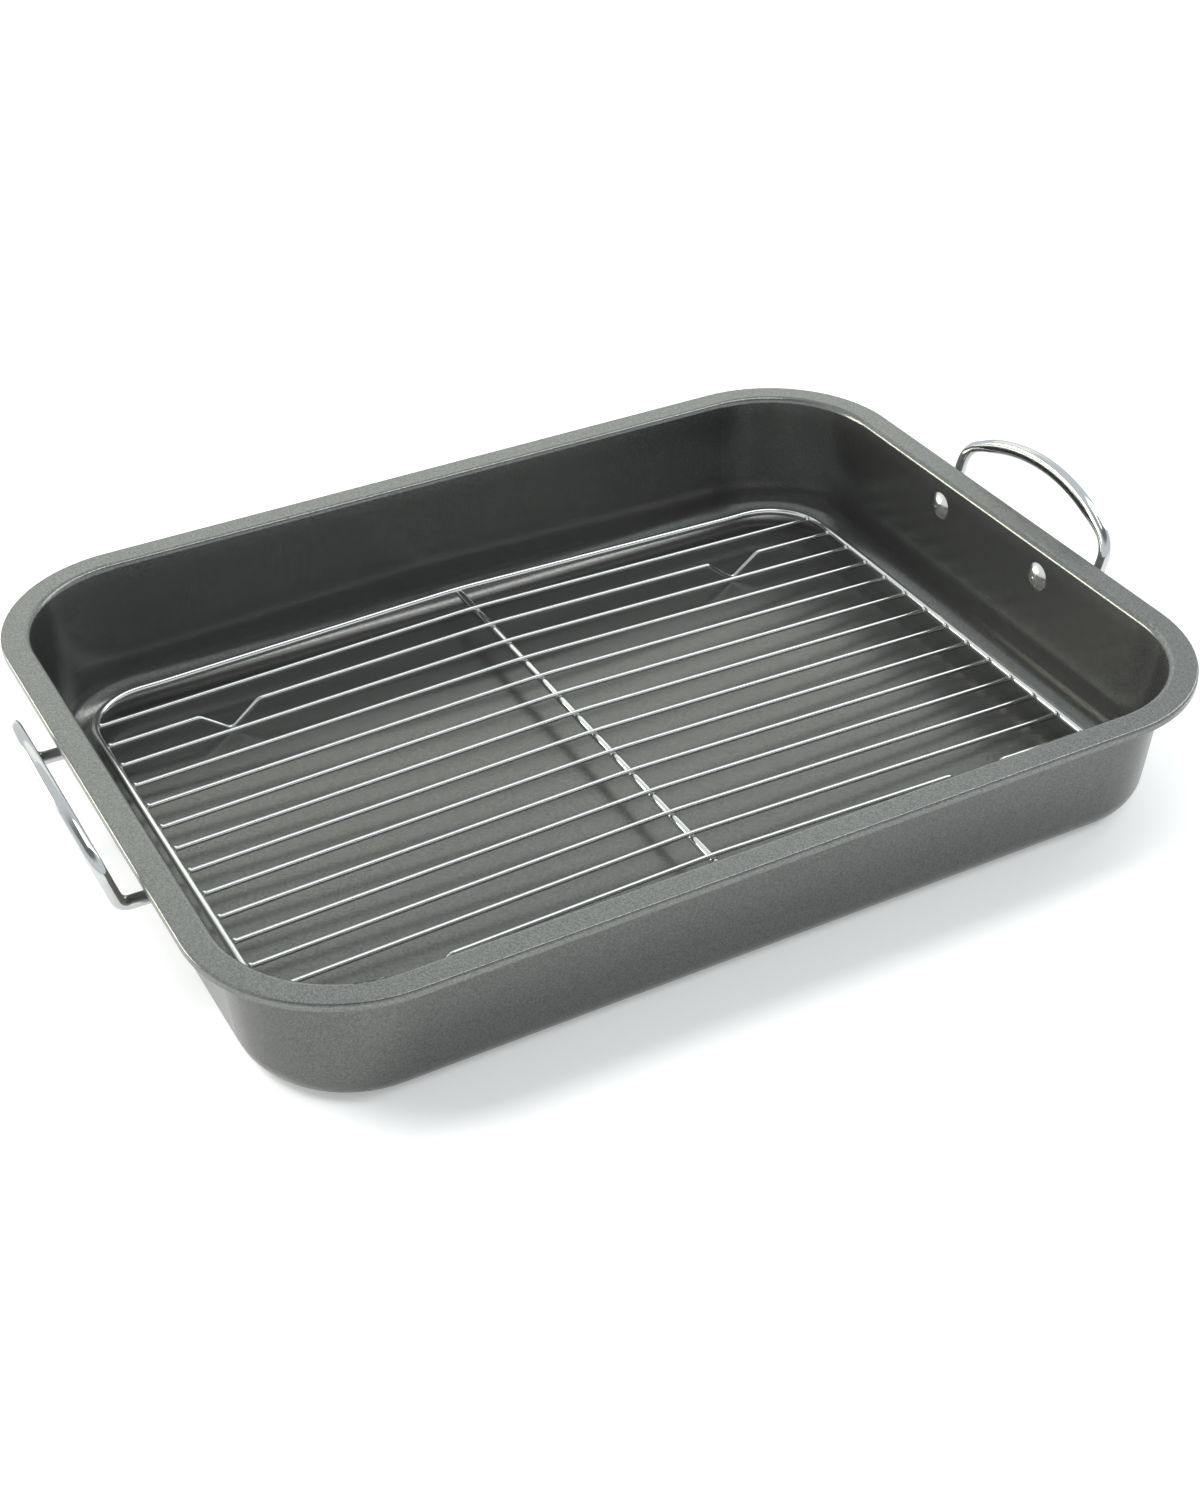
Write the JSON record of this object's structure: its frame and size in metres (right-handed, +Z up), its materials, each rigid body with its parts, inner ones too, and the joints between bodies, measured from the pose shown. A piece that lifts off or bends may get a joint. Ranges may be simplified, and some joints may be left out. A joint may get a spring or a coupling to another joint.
{
  "type": "roasting pan with rack",
  "caption": "Shallow rectangular roasting pan with a flat rim and riveted loop handles on its ends, holding a lift-out wire rack that stands on bent feet.",
  "frame": {"origin": "on the resting surface, under the middle of the pan", "axes": "+X along the pan's long side towards the right handle, +Y towards the far long side, +Z up"},
  "size_m": [0.4672, 0.326, 0.0826],
  "materials": {
    "nonstick_pan": "dark warm grey non-stick coating with a fine metallic fleck, semi-gloss",
    "chrome_handle": "polished chrome plate on steel rod",
    "rivet_steel": "satin steel with fine turned marks",
    "rack_wire": "bright chrome plate on steel wire"
  },
  "bodies": {
    "pan": {"pan_body": "nonstick_pan", "handle_left": "chrome_handle", "handle_right": "chrome_handle", "rivet_left_far": "rivet_steel", "rivet_left_near": "rivet_steel", "rivet_right_far": "rivet_steel", "rivet_right_near": "rivet_steel"},
    "rack": {"rack_frame": "rack_wire", "rack_center_bar": "rack_wire", "rack_foot_wire_far": "rack_wire", "rack_foot_wire_near": "rack_wire", "rack_wire_01": "rack_wire", "rack_wire_03": "rack_wire", "rack_wire_04": "rack_wire", "rack_wire_05": "rack_wire", "rack_wire_06": "rack_wire", "rack_wire_07": "rack_wire", "rack_wire_08": "rack_wire", "rack_wire_09": "rack_wire", "rack_wire_10": "rack_wire", "rack_wire_11": "rack_wire", "rack_wire_12": "rack_wire", "rack_wire_13": "rack_wire", "rack_wire_15": "rack_wire"}
  },
  "joints": [
    {"name": "rack_lift", "type": "slide", "parent": "pan", "child": "rack", "axis": [0, 0, 1], "range_m": [0, 0.12]}
  ]
}
